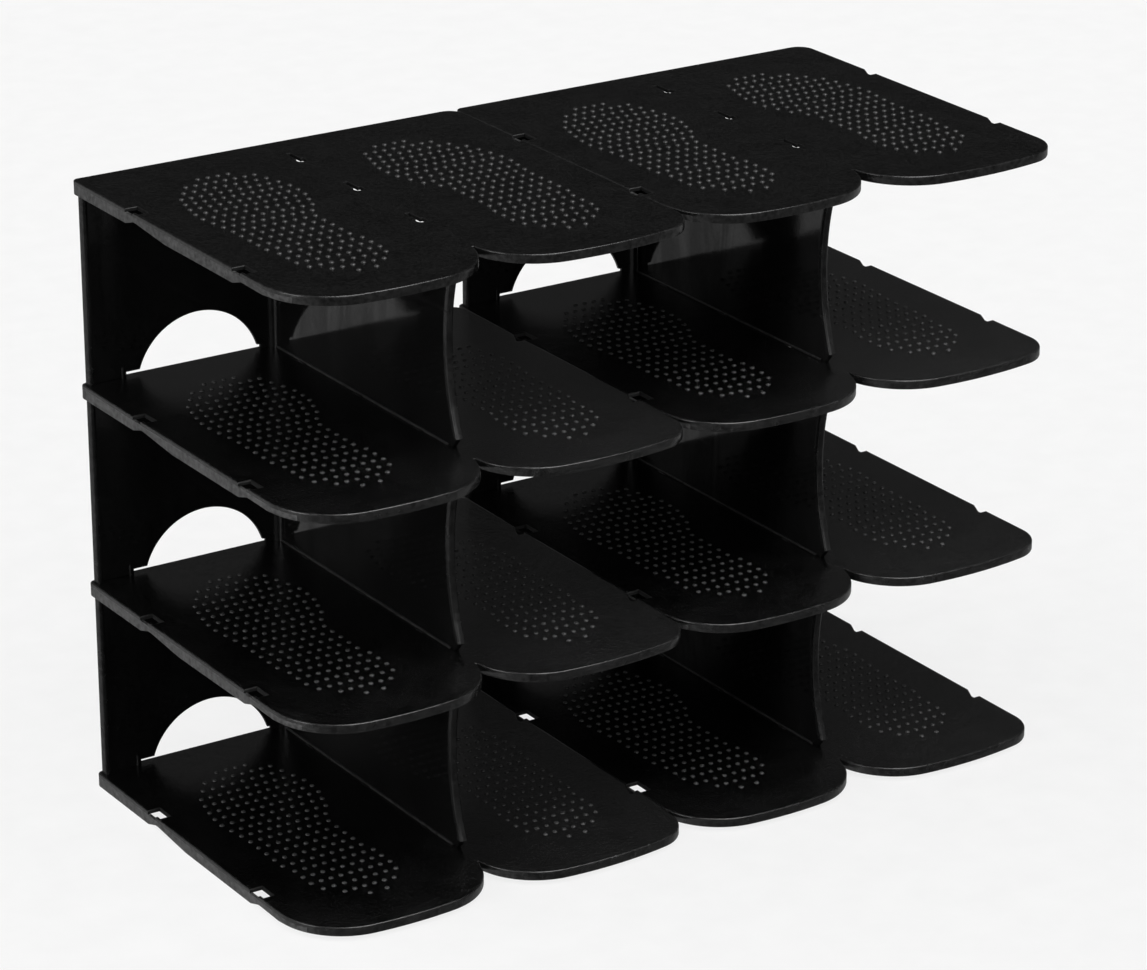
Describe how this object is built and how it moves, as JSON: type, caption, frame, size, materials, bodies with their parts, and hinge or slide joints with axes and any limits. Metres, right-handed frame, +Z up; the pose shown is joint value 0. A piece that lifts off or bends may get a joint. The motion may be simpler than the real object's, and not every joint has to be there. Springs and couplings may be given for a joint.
{
  "type": "tiered shoe rack",
  "caption": "Free-standing stackable shoe rack of lobed plastic shelves held apart by L-shaped arched uprights; each shelf carries a pair of shoes in two lanes.",
  "frame": {"origin": "middle of the footprint, on the floor", "axes": "+X along the row of columns, to the right as seen from the front; +Y to the back, shoes go in from -Y; +Z up"},
  "size_m": [0.6, 0.31, 0.445],
  "materials": {
    "shelf_plastic": "black injection moulding, semi-gloss deck with a fine leather-like mottle and raised grip pips, polished rim",
    "upright_plastic": "black injection moulding with a polished, slightly wavy face"
  },
  "bodies": {
    "root": {"shelf_left_1": "shelf_plastic", "shelf_left_2": "shelf_plastic", "shelf_left_3": "shelf_plastic", "shelf_left_4": "shelf_plastic", "shelf_right_1": "shelf_plastic", "shelf_right_2": "shelf_plastic", "shelf_right_3": "shelf_plastic", "shelf_right_4": "shelf_plastic", "upright_left_1": "upright_plastic", "upright_left_2": "upright_plastic", "upright_left_3": "upright_plastic", "upright_right_1": "upright_plastic", "upright_right_2": "upright_plastic", "upright_right_3": "upright_plastic"}
  },
  "joints": []
}
